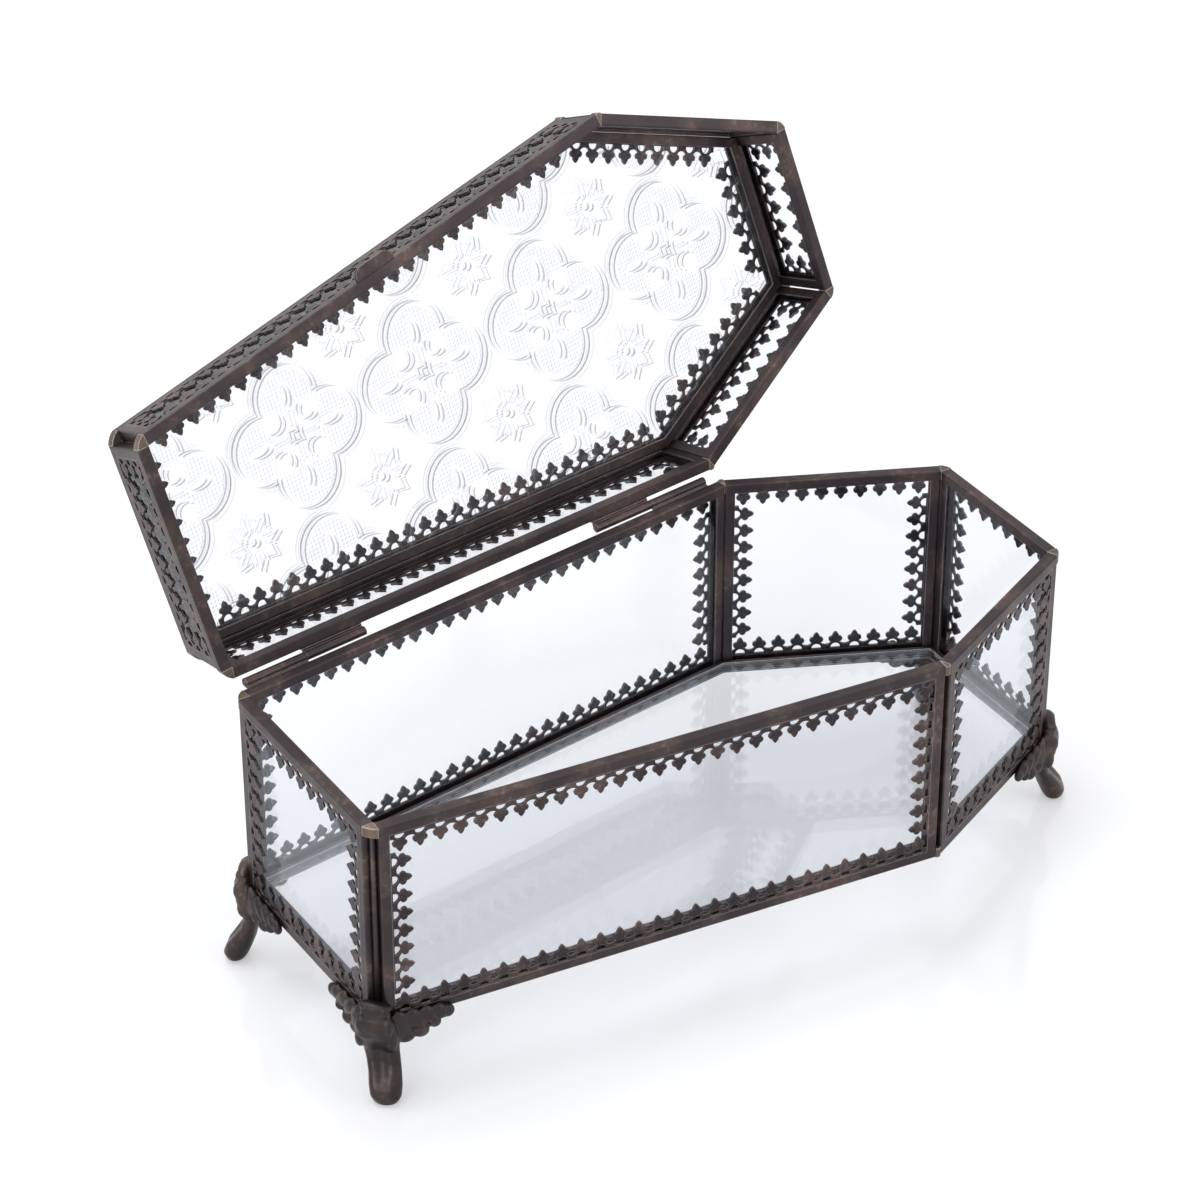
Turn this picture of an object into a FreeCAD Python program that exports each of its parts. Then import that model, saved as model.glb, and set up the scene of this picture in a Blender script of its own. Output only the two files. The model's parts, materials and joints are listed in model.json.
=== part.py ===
import FreeCAD, Part
import math
import os
import re

import Sketcher
from FreeCAD import Placement, Rotation, Vector

# Coffin-shaped trinket box of clear panes held in mitred channel frames.
# Six upright wall panels stand round a six-sided floor pane on four cast feet.
# A shallow lid of six leaning side panels and a patterned top pane swings on
# two pinned hinges along the back long wall. It is drawn open, leaning back.
#
# Box axes: X runs from the narrow end to the head end, Y from front to back,
# Z up from the surface that the feet stand on. All lengths are millimetres.

DRIVING_SIZES = {
    # Plan of the box, measured on the inside of its walls.
    "plan_length": 250.0,
    "narrow_width": 74.4,
    "shoulder_width": 117.0,
    "head_width": 56.2,
    "shoulder_at": 186.0,
    "wall_height": 72.6,
    # Channel frame and the pane inside it.
    "glass_thick": 2.6,
    "lip_thick": 0.65,
    "lip_height": 3.3,
    "floor_lip": 1.6,
    "web_thick": 0.7,
    "web_round": 0.5,
    "pane_gap": 0.1,
    # Lid: upright height, how far its sides lean in, how far it opens in degrees.
    "lid_height": 23.0,
    "lid_inset": 2.5,
    "lid_gap": 0.8,
    "lid_open": 109.5,
    # Pierced edging strips.
    "lace_pitch": 6.35,
    "lace_depth": 6.8,
    "lace_band": 0.45,
    "lace_space": 0.3,
    # Hinges.
    "hinge_reach": 2.2,
    "knuckle_radius": 1.45,
    "knuckle_length": 22.2,
    "knuckle_space": 0.3,
    "leaf_height": 3.0,
    "leaf_thick": 0.6,
    "pin_radius": 0.7,
    "pin_clearance": 0.05,
    "pin_head_radius": 1.1,
    "pin_head_thick": 0.4,
    "narrow_hinge_at": 24.8,
    "shoulder_hinge_at": 26.5,
    # Cast feet.
    "foot_height": 24.8,
    "knee_rise": 9.0,
    "knee_width": 13.0,
    "knee_reach": 8.4,
    "ankle_width": 11.2,
    "ankle_reach": 5.4,
    "toe_width": 11.4,
    "toe_reach": 13.2,
    "toe_swing": 3.6,
    "sole_width": 6.4,
    "wing_length": 22.0,
    "wing_rise": 3.4,
    "wing_drop": 6.6,
    "wing_thick": 2.0,
    # Solder fillets and the lift tab.
    "solder_height": 3.3,
    "solder_bulge": 0.5,
    "tab_width": 15.0,
    "tab_reach": 3.8,
    "tab_thick": 1.2,
}

SIZE_NAME = re.compile(r"\b(" + "|".join(DRIVING_SIZES) + r")\b")

# Height of an edging strip between two of its points, as a share of its whole depth.
LACE_VALLEY = 0.27

# Sizes that follow from the driving ones, written as sheet expressions.
CAME = "(glass_thick + 2 * lip_thick)"
LONG_SPREAD = "((shoulder_width - narrow_width) / 2)"
TAPER_SPREAD = "((shoulder_width - head_width) / 2)"
TAPER_RUN = "(plan_length - shoulder_at)"
LONG_SIDE = f"sqrt(shoulder_at^2 + {LONG_SPREAD}^2)"
TAPER_SIDE = f"sqrt({TAPER_RUN}^2 + {TAPER_SPREAD}^2)"
LONG_TURN = f"atan({LONG_SPREAD} / shoulder_at)"
TAPER_TURN = f"atan({TAPER_SPREAD} / {TAPER_RUN})"
LID_SLANT = "sqrt(lid_height^2 + lid_inset^2)"
LID_LEAN = "atan(lid_inset / lid_height)"
BORE = "(pin_radius + pin_clearance)"

# How far an offset corner moves along its side, for one millimetre of inset.
NARROW_SETBACK = f"tan(45 deg - {LONG_TURN} / 2)"
SHOULDER_SETBACK = f"tan(({LONG_TURN} + {TAPER_TURN}) / 2)"
HEAD_SETBACK = f"tan(45 deg - {TAPER_TURN} / 2)"

doc = FreeCAD.newDocument("CoffinBox")
sheet = doc.addObject("Spreadsheet::Sheet", "Sizes")
for row, (name, number) in enumerate(DRIVING_SIZES.items(), start=1):
    sheet.set(f"A{row}", name)
    sheet.set(f"B{row}", str(number))
    sheet.setAlias(f"B{row}", name)
doc.recompute()


def linked(formula):
    """Points every size named in a formula at its cell in the sheet."""
    return SIZE_NAME.sub(r"<<Sizes>>.\1", formula)


def value(formula):
    """Works a formula out with the numbers now in the sheet."""
    result = sheet.evalExpression(linked(formula))
    return float(getattr(result, "Value", result))


def plan_corners(inset="0"):
    """Formulas of the six plan corners, moved in from the inner wall faces."""
    narrow_y = f"(narrow_width / 2 - ({inset}) * {NARROW_SETBACK})"
    head_y = f"(head_width / 2 - ({inset}) * {HEAD_SETBACK})"
    shoulder_x = (
        f"(shoulder_at - ({inset}) * ({SHOULDER_SETBACK} * cos({LONG_TURN}) - sin({LONG_TURN})))"
    )
    shoulder_y = (
        f"(shoulder_width / 2"
        f" - ({inset}) * ({SHOULDER_SETBACK} * sin({LONG_TURN}) + cos({LONG_TURN})))"
    )
    narrow_x = f"({inset})"
    head_x = f"(plan_length - ({inset}))"
    return [
        (narrow_x, f"-{narrow_y}"),
        (shoulder_x, f"-{shoulder_y}"),
        (head_x, f"-{head_y}"),
        (head_x, head_y),
        (shoulder_x, shoulder_y),
        (narrow_x, narrow_y),
    ]


class Side:
    """One side of the plan, from its start corner to its end corner, seen from above."""

    def __init__(self, name, start, length, start_setback, end_setback):
        self.name = name
        self.start = start
        self.end = (start + 1) % 6
        self.length = length
        self.start_setback = start_setback
        self.end_setback = end_setback

    def wall_outline(self):
        """Upright rectangle of the wall panel, with its middle bottom point at the origin."""
        half = f"({self.length}) / 2"
        return [(f"-{half}", "0"), (half, "0"), (half, "wall_height"), (f"-{half}", "wall_height")]

    def lid_outline(self):
        """Leaning panel of the lid, narrower at the top by the setback of each corner."""
        half = f"({self.length}) / 2"
        return [
            (f"-{half}", "0"),
            (half, "0"),
            (f"{half} - lid_inset * {self.end_setback}", LID_SLANT),
            (f"lid_inset * {self.start_setback} - {half}", LID_SLANT),
        ]


SIDES = [
    Side("front_long", 0, LONG_SIDE, NARROW_SETBACK, SHOULDER_SETBACK),
    Side("front_taper", 1, TAPER_SIDE, SHOULDER_SETBACK, HEAD_SETBACK),
    Side("head_end", 2, "head_width", HEAD_SETBACK, HEAD_SETBACK),
    Side("back_taper", 3, TAPER_SIDE, HEAD_SETBACK, SHOULDER_SETBACK),
    Side("back_long", 4, LONG_SIDE, SHOULDER_SETBACK, NARROW_SETBACK),
    Side("narrow_end", 5, "narrow_width", NARROW_SETBACK, NARROW_SETBACK),
]
BACK_LONG = SIDES[4]

UP = Vector(0, 0, 1)
FLOOR_Z = value("foot_height")
WALL_TOP_Z = value("foot_height + wall_height")
LID_RIM_Z = value("foot_height + wall_height + lid_gap")
CORNERS = [Vector(value(x), value(y), 0) for x, y in plan_corners()]


def frame_placement(origin, x_axis, y_axis):
    """Placement with its X and Y along the two given directions."""
    return Placement(origin, Rotation(x_axis, y_axis, x_axis.cross(y_axis), "XYZ"))


def side_axes(side):
    """Direction along a side, its outward direction, and the middle of its inner face."""
    start, end = CORNERS[side.start], CORNERS[side.end]
    along = (end - start).normalize()
    return along, along.cross(UP), (start + end) * 0.5


def wall_placement(side):
    along, _, middle = side_axes(side)
    return frame_placement(middle + UP * FLOOR_Z, along, UP)


def lid_side_placement(side):
    """The panel leans in, so its upward direction tips towards the middle of the box."""
    along, outward, middle = side_axes(side)
    slope = (UP * value("lid_height") - outward * value("lid_inset")).normalize()
    return frame_placement(middle + UP * LID_RIM_Z, along, slope)


# The hinge line lies outside the back long wall, half way up the gap under the lid.
HINGE_ALONG, HINGE_OUT, HINGE_MIDDLE = side_axes(BACK_LONG)
HINGE_ALONG = HINGE_ALONG * -1
HINGE_POINT = (
    HINGE_MIDDLE
    + HINGE_OUT * value(f"{CAME} + hinge_reach")
    + UP * value("foot_height + wall_height + lid_gap / 2")
)
OPEN_LID = Placement(Vector(), Rotation(HINGE_ALONG * -1, value("lid_open")), HINGE_POINT)


def origin_plane(body, role):
    return next(item for item in body.Origin.OriginFeatures if item.Role == role)


def add_sketch(body, name, role="XY_Plane", offset=None):
    """Empty sketch on one of the body's own planes, moved by an attachment offset."""
    sketch = body.newObject("Sketcher::SketchObject", name)
    sketch.AttachmentSupport = [(origin_plane(body, role), "")]
    sketch.MapMode = "FlatFace"
    if offset is not None:
        sketch.AttachmentOffset = offset
    return sketch


def bind(sketch, kind, element, point, formula):
    """Sets one coordinate or radius of a sketch element to a sheet formula."""
    number = value(formula)
    if point is None:
        constraint = Sketcher.Constraint(kind, element, number)
    else:
        constraint = Sketcher.Constraint(kind, -1, 1, element, point, number)
    index = sketch.addConstraint(constraint)
    sketch.setExpression(f"Constraints[{index}]", linked(formula))


def draw_outline(sketch, points, bulges=None):
    """Closed outline through the points; a bulge makes that edge an arc.

    A bulge is the pair of formulas of a point that the arc passes through.
    """
    bulges = bulges or {}
    spots = [Vector(value(x), value(y), 0) for x, y in points]
    ends = []
    for index, spot in enumerate(spots):
        following = spots[(index + 1) % len(spots)]
        if index not in bulges:
            sketch.addGeometry(Part.LineSegment(spot, following))
            ends.append((1, 2))
            continue
        x, y = bulges[index]
        passing = Vector(value(x), value(y), 0)
        arc = Part.Arc(spot, passing, following)
        sketch.addGeometry(arc)
        turns_left = (passing - spot).cross(following - passing).z > 0
        ends.append((1, 2) if turns_left else (2, 1))
    for index in range(len(points)):
        following = (index + 1) % len(points)
        sketch.addConstraint(
            Sketcher.Constraint("Coincident", index, ends[index][1], following, ends[following][0])
        )
    for index, (x, y) in enumerate(points):
        bind(sketch, "DistanceX", index, ends[index][0], x)
        bind(sketch, "DistanceY", index, ends[index][0], y)
        if index in bulges:
            arc_radius(sketch, index, points, bulges[index])


def arc_radius(sketch, index, points, passing):
    """Ties an arc's radius to its two ends and the point that it passes through."""
    (ax, ay), (bx, by), (cx, cy) = points[index], passing, points[(index + 1) % len(points)]
    side_a = f"sqrt((({bx}) - ({cx}))^2 + (({by}) - ({cy}))^2)"
    side_b = f"sqrt((({ax}) - ({cx}))^2 + (({ay}) - ({cy}))^2)"
    side_c = f"sqrt((({ax}) - ({bx}))^2 + (({ay}) - ({by}))^2)"
    doubled = (
        f"abs((({bx}) - ({ax})) * (({cy}) - ({ay})) - (({cx}) - ({ax})) * (({by}) - ({ay})))"
    )
    bind(sketch, "Radius", index, None, f"{side_a} * {side_b} * {side_c} / (2 * {doubled})")


def add_body(label, placement):
    body = doc.addObject("PartDesign::Body", label)
    body.Label = label
    body.Placement = placement
    return body


def add_pad(body, name, sketch, length, reverse=False):
    pad = body.newObject("PartDesign::Pad", name)
    pad.Profile = sketch
    pad.Reversed = reverse
    pad.setExpression("Length", linked(length))
    sketch.Visibility = False
    return pad


def channel_frame(label, placement, outline, profile_plane, profile_start, lip="lip_height"):
    """Channel swept round an outline with mitred corners, open towards its middle.

    The sweep starts at a point of the outline where the profile plane crosses it.
    The start is the pair of formulas of that point and the sign of the inward way.
    The lip is the size that says how far the channel reaches over its pane.
    """
    body = add_body(label, placement)
    path = add_sketch(body, "Path")
    draw_outline(path, outline)
    position, sign = profile_start

    def inward(depth):
        return f"{position} {sign} ({depth})"

    profile = add_sketch(body, "Channel", profile_plane)
    rounded = "web_round"
    chord = f"(1 - sqrt(0.5)) * {rounded}"
    draw_outline(
        profile,
        [
            (inward(rounded), "0"),
            (inward(lip), "0"),
            (inward(lip), "lip_thick"),
            (inward("web_thick"), "lip_thick"),
            (inward("web_thick"), f"{CAME} - lip_thick"),
            (inward(lip), f"{CAME} - lip_thick"),
            (inward(lip), CAME),
            (inward(rounded), CAME),
            (inward("0"), f"{CAME} - {rounded}"),
            (inward("0"), rounded),
        ],
        {
            7: (inward(chord), f"{CAME} - {chord}"),
            9: (inward(chord), chord),
        },
    )
    frame = body.newObject("PartDesign::AdditivePipe", "Frame")
    frame.Profile = profile
    frame.Spine = (path, [])
    frame.Transition = "Right corner"
    return body


def pane(label, placement, outline):
    """Flat pane that fills the channel from lip to lip."""
    body = add_body(label, placement)
    sketch = add_sketch(body, "Outline", "XY_Plane", Placement(Vector(0, 0, 1), Rotation()))
    sketch.setExpression("AttachmentOffset.Base.z", linked("lip_thick"))
    draw_outline(sketch, outline)
    add_pad(body, "Pane", sketch, "glass_thick")
    return body


def closed_at_middle(outline):
    """The outline of an upright panel, started from the middle of its bottom edge."""
    return [("0", "0")] + outline[1:] + outline[:1]


PANE_INSET = "(web_thick + pane_gap)"


def panel_pane_outline(side, leaning):
    """Outline of a panel moved in by the web and the gap beside the pane."""
    half = f"({side.length}) / 2"
    if not leaning:
        edge = f"({half} - {PANE_INSET})"
        top = f"(wall_height - {PANE_INSET})"
        return [(f"-{edge}", PANE_INSET), (edge, PANE_INSET), (edge, top), (f"-{edge}", top)]
    top = f"({LID_SLANT} - {PANE_INSET})"

    def edge(setback, level):
        lean = f"(lid_inset * {setback} / {LID_SLANT})"
        return f"({half} - {lean} * {level} - {PANE_INSET} * sqrt(1 + {lean}^2))"

    return [
        (f"-{edge(side.start_setback, PANE_INSET)}", PANE_INSET),
        (edge(side.end_setback, PANE_INSET), PANE_INSET),
        (edge(side.end_setback, top), top),
        (f"-{edge(side.start_setback, top)}", top),
    ]


def inset_outline(points, distance):
    """Moves every edge of a convex outline, listed anticlockwise, in by a distance."""
    moved = []
    for index, point in enumerate(points):
        before, after = points[index - 1], points[(index + 1) % len(points)]
        arriving = (point - before).normalize()
        leaving = (after - point).normalize()
        bisector = UP.cross(arriving) + UP.cross(leaving)
        moved.append(point + bisector * (2 * distance / bisector.dot(bisector)))
    return moved


def lace_unit_edges(left, width, depth):
    """Upper outline of one repeat of the strip: an arm, a pointed trefoil and an arm."""
    middle = left + width / 2
    rising = [
        (-0.50, LACE_VALLEY),
        (-0.31, 0.32),
        (-0.22, 0.42),
        (-0.36, 0.58),
        (-0.18, 0.73),
        (-0.13, 0.88),
        (0.0, 1.0),
    ]
    spots = rising + [(-aside, level) for aside, level in reversed(rising[:-1])]
    points = [Vector(middle + aside * width, level * depth, 0) for aside, level in spots]
    return [
        Part.Arc(points[start], points[start + 1], points[start + 2]).toShape()
        for start in range(0, len(points) - 2, 2)
    ]


def lace_hole(left, width, depth, band):
    """One opening: a flat foot along the band under a round arch."""
    middle = left + width / 2
    foot, spring, crown = band, band + 0.04 * depth, 0.34 * depth
    reach = 0.25 * width
    corners = [
        Vector(middle - reach, foot, 0),
        Vector(middle + reach, foot, 0),
        Vector(middle + reach, spring, 0),
        Vector(middle, crown, 0),
        Vector(middle - reach, spring, 0),
    ]
    return Part.Wire(
        [
            Part.LineSegment(corners[0], corners[1]).toShape(),
            Part.LineSegment(corners[1], corners[2]).toShape(),
            Part.Arc(corners[2], corners[3], corners[4]).toShape(),
            Part.LineSegment(corners[4], corners[0]).toShape(),
        ]
    )


def lace_strip(start, end, trim_start, trim_end):
    """Flat pierced strip along an edge, its points towards the left of the edge's run."""
    along = (end - start).normalize()
    length = (end - start).Length - trim_start - trim_end
    count = max(1, round(length / value("lace_pitch")))
    width = length / count
    depth, band = value("lace_depth"), value("lace_band")
    top = []
    for index in reversed(range(count)):
        top += reversed(lace_unit_edges(index * width, width, depth))
    valley = LACE_VALLEY * depth
    sides = [
        Part.LineSegment(Vector(0, valley, 0), Vector()).toShape(),
        Part.LineSegment(Vector(), Vector(length, 0, 0)).toShape(),
        Part.LineSegment(Vector(length, 0, 0), Vector(length, valley, 0)).toShape(),
    ]
    outer = Part.Wire(Part.__sortEdges__(top + sides))
    holes = [lace_hole(index * width, width, depth, band) for index in range(count)]
    face = Part.makeFace([outer] + holes, "Part::FaceMakerBullseye")
    strip = face.extrude(Vector(0, 0, value("lip_thick")))
    origin = start + along * trim_start + UP * value(f"{CAME} - lip_thick")
    strip.Placement = frame_placement(origin, along, UP.cross(along))
    return strip


def set_shape(label, shape, placement):
    """Free shape that no parametric feature gives, read from the sheet when it is made."""
    item = doc.addObject("Part::Feature", label)
    item.Label = label
    item.Shape = shape
    item.Placement = placement
    return item


def sharp_corner_trims(window, depth):
    """How far a strip stays back from each corner that is sharper than a right angle."""
    trims = []
    for index, corner in enumerate(window):
        opening = (window[index - 1] - corner).getAngle(window[(index + 1) % 4] - corner)
        trims.append(max(0.0, depth / math.tan(opening)))
    return trims


def panel_lace(label, placement, outline, ends_run_through):
    """Four strips round the window of an upright panel, on the outer face of its pane."""
    corners = [Vector(value(x), value(y), 0) for x, y in outline]
    window = inset_outline(corners, value("lip_height"))
    sharp = sharp_corner_trims(window, value("lace_depth"))
    beside = value("lace_depth + lace_space")
    strips = []
    for index, start in enumerate(window):
        following = (index + 1) % 4
        is_end = index % 2 == 1
        trim = 0.0 if is_end == ends_run_through else beside
        strips.append(
            lace_strip(start, window[following], trim + sharp[index], trim + sharp[following])
        )
    return set_shape(label, Part.makeCompound(strips), placement)


def ring_lace(label, placement, outline):
    """Strips round the window of the top pane, cut short where two of them would meet."""
    corners = [Vector(value(x), value(y), 0) for x, y in outline]
    window = inset_outline(corners, value("lip_height"))
    reach = value("lace_depth")
    trims = []
    for index, corner in enumerate(window):
        arriving = (corner - window[index - 1]).normalize()
        leaving = (window[(index + 1) % 6] - corner).normalize()
        turn = arriving.getAngle(leaving)
        trims.append(reach * math.tan(turn / 2) + value("lace_space"))
    strips = [
        lace_strip(window[index], window[(index + 1) % 6], trims[index], trims[(index + 1) % 6])
        for index in range(6)
    ]
    return set_shape(label, Part.makeCompound(strips), placement)


def solder_fillet(corner, first_out, second_out, run):
    """Prism that fills the open corner between two panels, with a rounded back."""
    thick = value(CAME)
    first = corner + first_out * thick
    second = corner + second_out * thick
    bisector = (first_out + second_out).normalize()
    back = corner + bisector * (thick * bisector.dot(first_out) + value("solder_bulge"))
    outline = Part.Wire(
        [
            Part.LineSegment(corner, first).toShape(),
            Part.Arc(first, back, second).toShape(),
            Part.LineSegment(second, corner).toShape(),
        ]
    )
    return Part.Face(outline).extrude(run)


def base_solder():
    """Fillets at the top of all six corners, and below the two that have no foot."""
    run = UP * value("solder_height")
    fillets = []
    for index, corner in enumerate(CORNERS):
        first_out = side_axes(SIDES[index - 1])[1]
        second_out = side_axes(SIDES[index])[1]
        top = corner + UP * WALL_TOP_Z
        fillets.append(solder_fillet(top, first_out, second_out, run * -1))
        if index in SHOULDERS:
            bottom = corner + UP * FLOOR_Z
            fillets.append(solder_fillet(bottom, first_out, second_out, run))
    return set_shape("base_corner_solder", Part.makeCompound(fillets), Placement())


def lid_solder():
    """Fillets at the rim and at the top of the six leaning corners of the lid."""
    fillets = []
    inset = value("lid_inset")
    top_corners = inset_outline(CORNERS, inset)
    for index, corner in enumerate(CORNERS):
        first_out = lid_side_placement(SIDES[index - 1]).Rotation.multVec(UP)
        second_out = lid_side_placement(SIDES[index]).Rotation.multVec(UP)
        rim = corner + UP * LID_RIM_Z
        top = top_corners[index] + UP * (LID_RIM_Z + value("lid_height"))
        run = (top - rim).normalize() * value("solder_height")
        fillets.append(solder_fillet(rim, first_out, second_out, run))
        fillets.append(solder_fillet(top, first_out, second_out, run * -1))
    return set_shape("lid_corner_solder", Part.makeCompound(fillets), OPEN_LID)


def add_section(body, name, level, swing, centre, reach, width):
    """Oval of a foot's leg at one level, given its centre, front reach and width.

    The swing is the share of the toe's sideways turn that the level takes. Each oval is
    two halves that meet at its front and back, so that all join up without a twist.
    """
    sketch = add_sketch(body, name, "XY_Plane", Placement(Vector(0, 0, 1), Rotation()))
    sketch.setExpression("AttachmentOffset.Base.z", linked(level))
    middle = Vector(value(centre), value(f"{swing} * toe_swing"), 0)
    forward = Vector(value(f"{reach} - {centre}"), 0, 0)
    sideways = Vector(0, value(f"{width} / 2"), 0)
    if forward.Length > sideways.Length:
        oval = Part.Ellipse(middle + forward, middle + sideways, middle)
        front = 0.0
    else:
        oval = Part.Ellipse(middle + sideways, middle - forward, middle)
        front = -math.pi / 2
    sketch.addGeometry(Part.ArcOfEllipse(oval, front, front + math.pi))
    sketch.addGeometry(Part.ArcOfEllipse(oval, front + math.pi, front + 2 * math.pi))
    sketch.addConstraint(Sketcher.Constraint("Coincident", 0, 2, 1, 1))
    sketch.addConstraint(Sketcher.Constraint("Coincident", 1, 2, 0, 1))
    return sketch


SHOULDERS = (1, 4)
FEET = {
    "narrow_front_foot": 0,
    "head_front_foot": 2,
    "head_back_foot": 3,
    "narrow_back_foot": 5,
}

# Ovals of a foot's leg from the walls down: level, share of the toe's sideways turn,
# centre, front reach and width.
LEG_SECTIONS = (
    ("Thigh", "0", 0, "0.42 * knee_reach", "knee_reach", "knee_width"),
    ("Calf", "-0.17 * foot_height", 0.08, "0.32 * knee_reach", "0.84 * knee_reach",
     "0.97 * knee_width"),
    ("Ankle", "-0.38 * foot_height", 0.3, "0.50 * ankle_reach", "ankle_reach", "ankle_width"),
    ("Instep", "-0.57 * foot_height", 0.6, "0.36 * toe_reach", "0.68 * toe_reach",
     "0.97 * toe_width"),
    ("Toe", "-0.77 * foot_height", 0.9, "0.56 * toe_reach", "toe_reach", "toe_width"),
    ("ToeTip", "-0.93 * foot_height", 1, "0.60 * toe_reach", "0.96 * toe_reach",
     "0.84 * toe_width"),
    ("Sole", "-foot_height", 1, "0.60 * toe_reach", "0.80 * toe_reach", "sole_width"),
)

# Steps of a foot's knee: lower and upper level as shares of its rise, spread along each
# wall as a share of its width, and reach as a share of its own.
KNEE_STEPS = (
    ("LowKnee", 0, 0.5, 0.34, 1),
    ("MidKnee", 0.5, 0.8, 0.27, 0.88),
    ("TopKnee", 0.8, 1, 0.17, 0.68),
)


def foot(label, index):
    """Cast leg under one corner, with a scrolled wing soldered along each wall.

    Its own axes have the outward diagonal as X and the inner wall corner at the
    origin, level with the bottom of the walls.
    """
    first_out = side_axes(SIDES[index - 1])[1]
    second_out = side_axes(SIDES[index])[1]
    diagonal = (first_out + second_out).normalize()
    half_turn = math.degrees(first_out.getAngle(second_out)) / 2
    placement = frame_placement(CORNERS[index] + UP * FLOOR_Z, diagonal, UP.cross(diagonal))
    body = add_body(label, placement)

    sections = [
        add_section(body, name, level, swing, centre, reach, width)
        for name, level, swing, centre, reach, width in LEG_SECTIONS
    ]
    leg = body.newObject("PartDesign::AdditiveLoft", "Leg")
    leg.Profile = sections[0]
    leg.Sections = sections[1:]
    doc.recompute()

    # The knee rises outside the walls in steps. Its faces follow their ends and outer
    # faces, and its blunt tongue between the wall ends stops short of the inner corner.
    turned = f"{half_turn} deg"
    out_x, out_y = f"{CAME} * cos({turned})", f"{CAME} * sin({turned})"
    for name, low, high, spread, reach in KNEE_STEPS:
        outline = add_sketch(body, name, "XY_Plane", Placement(Vector(0, 0, 1), Rotation()))
        outline.setExpression("AttachmentOffset.Base.z", linked(f"{low} * knee_rise"))
        side_x = f"{out_x} - {spread} * knee_width * sin({turned})"
        side_y = f"{out_y} + {spread} * knee_width * cos({turned})"
        draw_outline(
            outline,
            [
                (f"0.3 * {out_x}", f"-0.3 * {out_y}"),
                (out_x, f"-{out_y}"),
                (side_x, f"-({side_y})"),
                (side_x, side_y),
                (out_x, out_y),
                (f"0.3 * {out_x}", f"0.3 * {out_y}"),
            ],
            {2: (f"{reach} * knee_reach", "0")},
        )
        add_pad(body, f"{name}Step", outline, f"({high} - {low}) * knee_rise")
        doc.recompute()

    wing = add_sketch(body, "WingOutline", "XZ_Plane")
    turn = Rotation(Vector(0, 1, 0), half_turn + 90)
    wing.AttachmentOffset = Placement(turn.multVec(Vector(0, 0, value(CAME))), turn)
    draw_outline(
        wing,
        [
            ("0", "-wing_drop"),
            ("0.42 * wing_length", "-wing_drop"),
            ("0.62 * wing_length", "-0.62 * wing_drop"),
            ("0.93 * wing_length", "-0.34 * wing_drop"),
            ("0.86 * wing_length", "0.80 * wing_rise"),
            ("0.55 * wing_length", "0.72 * wing_rise"),
            ("0", "wing_rise"),
        ],
        {
            1: ("0.57 * wing_length", "-1.0 * wing_drop"),
            2: ("0.80 * wing_length", "-0.68 * wing_drop"),
            3: ("wing_length", "0.12 * wing_rise"),
            4: ("0.70 * wing_length", "wing_rise"),
        },
    )
    plate = add_pad(body, "Wing", wing, "wing_thick")
    doc.recompute()
    mirrored = body.newObject("PartDesign::Mirrored", "OtherWing")
    mirrored.Originals = [plate]
    mirrored.MirrorPlane = (origin_plane(body, "XZ_Plane"), [""])
    body.Tip = mirrored
    doc.recompute()
    return body


def knuckle(label, placement, outline, bore):
    """Barrel and leaf of one hinge half, both along the whole knuckle length."""
    body = add_body(label, placement)
    leaf = add_sketch(body, "LeafOutline", "YZ_Plane")
    draw_outline(leaf, outline)
    add_pad(body, "Leaf", leaf, "knuckle_length")
    barrel = add_sketch(body, "BarrelOutline", "YZ_Plane")
    barrel.addGeometry(Part.Circle(Vector(), UP, value("knuckle_radius")))
    barrel.addConstraint(Sketcher.Constraint("Coincident", 0, 3, -1, 1))
    bind(barrel, "Radius", 0, None, "knuckle_radius")
    add_pad(body, "Barrel", barrel, "knuckle_length")
    doc.recompute()
    hole = add_sketch(body, "BoreOutline", "YZ_Plane")
    hole.addGeometry(Part.Circle(Vector(), UP, value(bore)))
    hole.addConstraint(Sketcher.Constraint("Coincident", 0, 3, -1, 1))
    bind(hole, "Radius", 0, None, bore)
    drilled = body.newObject("PartDesign::Pocket", "Bore")
    drilled.Profile = hole
    drilled.Reversed = True
    drilled.setExpression("Length", linked("knuckle_length"))
    return body


def base_leaf_outline():
    """Leaf flat on the wall's top channel, with a foot that reaches under the barrel."""
    wall = "-hinge_reach"
    top = "-lid_gap / 2"
    return [
        (wall, top),
        (wall, f"{top} - leaf_height"),
        (f"{wall} + leaf_thick", f"{top} - leaf_height"),
        (f"{wall} + leaf_thick", "-knuckle_radius"),
        ("0", "-knuckle_radius"),
        ("0", top),
    ]


def lid_leaf_outline():
    """Leaf flat on the leaning lid side, with a foot that reaches over the barrel."""
    lean_x, lean_y = f"sin({LID_LEAN})", f"cos({LID_LEAN})"
    rim_x = f"({CAME} * ({lean_y} - 1) - hinge_reach)"
    rim_y = f"({CAME} * {lean_x} + lid_gap / 2)"
    top_x, top_y = f"{rim_x} - leaf_height * {lean_x}", f"{rim_y} + leaf_height * {lean_y}"
    back_x = f"{rim_x} + leaf_thick / {lean_y} - (knuckle_radius - {rim_y}) * tan({LID_LEAN})"
    return [
        (rim_x, rim_y),
        ("0", rim_y),
        ("0", "knuckle_radius"),
        (back_x, "knuckle_radius"),
        (f"{top_x} + leaf_thick * {lean_y}", f"{top_y} + leaf_thick * {lean_x}"),
        (top_x, top_y),
    ]


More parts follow.
